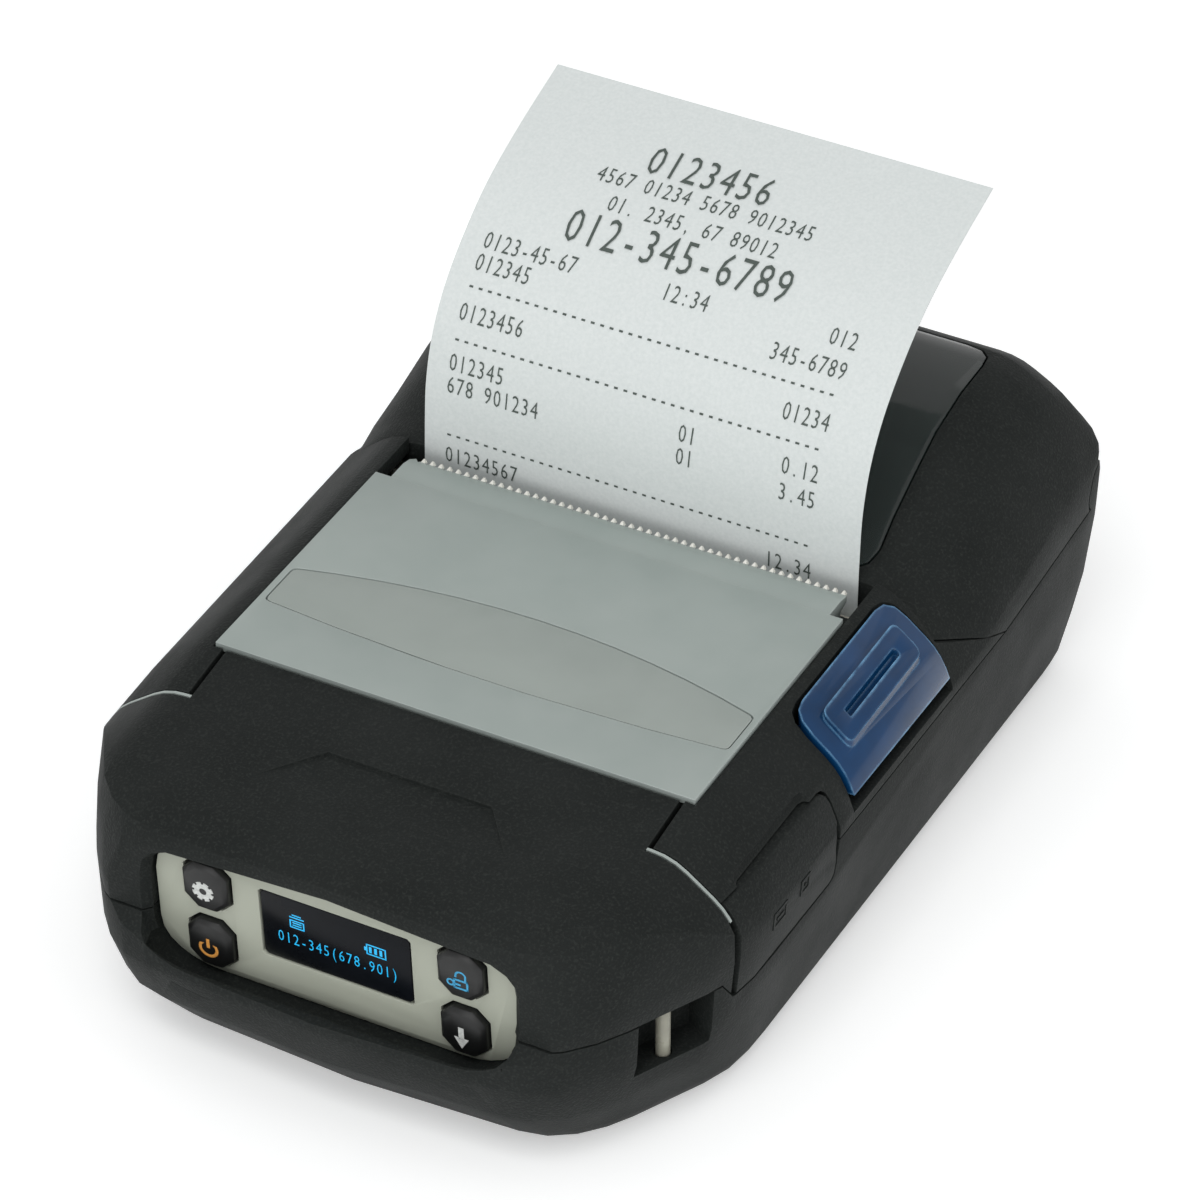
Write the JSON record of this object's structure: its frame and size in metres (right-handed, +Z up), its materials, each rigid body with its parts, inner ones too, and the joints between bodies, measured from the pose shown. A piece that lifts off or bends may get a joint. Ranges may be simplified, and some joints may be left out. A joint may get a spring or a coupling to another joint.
{
  "type": "portable thermal printer",
  "caption": "Hand-held battery receipt printer with hinged paper lid, platen and head, geared feed, side latch, port door and four-key display panel.",
  "frame": {"origin": "middle of the base outline, on the surface the printer stands on", "axes": "+Z up, -Y out of the control panel, +Y towards the paper lid, +X out of the side with the latch and the ports"},
  "size_m": [0.116, 0.1678, 0.0968],
  "materials": {
    "black_rubber": "soft-touch matt",
    "black_plastic": "fine texture",
    "silver": "satin silver-grey",
    "badge": "satin warm grey",
    "panel": "smooth beige-grey",
    "button": "matt",
    "display": "gloss black",
    "latch": "gloss blue",
    "smoked": "gloss smoked",
    "steel": "satin",
    "dark_steel": "satin",
    "aluminium": "satin",
    "ceramic": "glazed",
    "platen_rubber": "matt",
    "nylon": "natural",
    "brass": "satin",
    "board": "solder mask",
    "paper": "plain thermal paper",
    "card": "raw board",
    "post": "light beige"
  },
  "bodies": {
    "case": {"lower_case": "black_rubber", "front_hood": "black_rubber", "upper_case": "black_rubber", "seam_trim_left": "silver", "seam_trim_right": "silver", "top_plate": "silver", "badge_plate": "badge", "tear_bar": "steel", "control_bezel": "panel", "display_glass": "display", "display_module": "dark_steel", "keypad_board": "board", "port_housing": "black_plastic", "usb_socket": "steel", "power_socket": "black_plastic", "strap_pin_left": "post", "strap_pin_right": "post", "hinge_pin": "steel", "print_frame": "dark_steel", "stepper_motor": "steel", "head_spring_left": "steel", "head_spring_right": "steel", "frame_screw_left": "dark_steel", "frame_screw_right": "dark_steel", "paper_tray": "black_plastic", "paper_web": "paper", "main_board": "board", "latch_spring": "steel", "case_screw_1": "dark_steel", "case_screw_2": "dark_steel", "case_screw_3": "dark_steel", "case_screw_4": "dark_steel"},
    "lid": {"lid_shell": "black_rubber", "lid_window": "smoked", "platen_bracket": "steel", "platen_bushing_left": "nylon", "platen_bushing_right": "nylon"},
    "platen": {"platen_shaft": "steel", "platen_roller": "platen_rubber", "platen_gear": "nylon"},
    "idler": {"idler_gear": "nylon"},
    "motor_rotor": {"motor_pinion": "brass"},
    "roll": {"paper_roll": "paper", "roll_core": "card"},
    "latch": {"latch_button": "latch"},
    "hook": {"latch_hook": "dark_steel"},
    "settings_key": {"button_settings": "button"},
    "power_key": {"button_power": "button"},
    "unlock_key": {"button_unlock": "button"},
    "feed_key": {"button_feed": "button"},
    "door": {"port_door": "black_rubber"},
    "head": {"print_head": "ceramic", "head_heatsink": "aluminium"},
    "battery": {"battery_pack": "black_plastic"},
    "battery_catch": {"battery_latch": "black_plastic"}
  },
  "joints": [
    {"name": "lid_hinge", "type": "hinge", "parent": "case", "child": "lid", "pos_m": [0, 0.0795, 0.038], "axis": [-1, 0, 0], "range_deg": [0, 90]},
    {"name": "platen_turn", "type": "hinge", "parent": "lid", "child": "platen", "pos_m": [0, 0.0293, 0.0355], "axis": [1, 0, 0], "continuous": true},
    {"name": "idler_turn", "type": "hinge", "parent": "case", "child": "idler", "pos_m": [0, 0.0293, 0.02698], "axis": [1, 0, 0], "continuous": true},
    {"name": "motor_turn", "type": "hinge", "parent": "case", "child": "motor_rotor", "pos_m": [0, 0.0208, 0.01848], "axis": [1, 0, 0], "continuous": true},
    {"name": "roll_turn", "type": "hinge", "parent": "case", "child": "roll", "pos_m": [0, 0.0553, 0.0275], "axis": [1, 0, 0], "continuous": true},
    {"name": "latch_press", "type": "slide", "parent": "case", "child": "latch", "axis": [0, 0, -1], "range_m": [0, 0.002], "stiffness_N_per_m": 1500, "springref_m": -0.0005, "deforming": ["latch_spring"]},
    {"name": "hook_swing", "type": "hinge", "parent": "case", "child": "hook", "pos_m": [0.047, 0.0178, 0.024], "axis": [1, 0, 0], "range_deg": [0, 8]},
    {"name": "settings_press", "type": "slide", "parent": "case", "child": "settings_key", "axis": [0, 0.9976, 0.0698], "range_m": [0, 0.0008], "stiffness_N_per_m": 1500, "springref_m": -0.0003},
    {"name": "power_press", "type": "slide", "parent": "case", "child": "power_key", "axis": [0, 0.9976, 0.0698], "range_m": [0, 0.0008], "stiffness_N_per_m": 1500, "springref_m": -0.0003},
    {"name": "unlock_press", "type": "slide", "parent": "case", "child": "unlock_key", "axis": [0, 0.9976, 0.0698], "range_m": [0, 0.0008], "stiffness_N_per_m": 1500, "springref_m": -0.0003},
    {"name": "feed_press", "type": "slide", "parent": "case", "child": "feed_key", "axis": [0, 0.9976, 0.0698], "range_m": [0, 0.0008], "stiffness_N_per_m": 1500, "springref_m": -0.0003},
    {"name": "door_hinge", "type": "hinge", "parent": "case", "child": "door", "pos_m": [0.0566, -0.0498, 0.032], "axis": [0, 0, -1], "range_deg": [0, 95]},
    {"name": "head_tilt", "type": "hinge", "parent": "case", "child": "head", "pos_m": [0, 0.0235, 0.0286], "axis": [1, 0, 0], "range_deg": [0, 1.2], "stiffness_Nm_per_rad": 2, "springref_deg": -0.57},
    {"name": "battery_slide", "type": "slide", "parent": "case", "child": "battery", "axis": [0, 0, -1], "range_m": [0, 0.025]},
    {"name": "battery_catch_slide", "type": "slide", "parent": "case", "child": "battery_catch", "axis": [0, 1, 0], "range_m": [0, 0.0025], "stiffness_N_per_m": 600, "springref_m": -0.0005}
  ],
  "couplings": [
    {"joint": "idler_turn", "follows": "platen_turn", "ratio": -1},
    {"joint": "motor_turn", "follows": "platen_turn", "ratio": 2.4},
    {"joint": "roll_turn", "follows": "platen_turn", "ratio": 0.24528},
    {"joint": "hook_swing", "follows": "latch_press", "rad_per_m": 66.67}
  ]
}
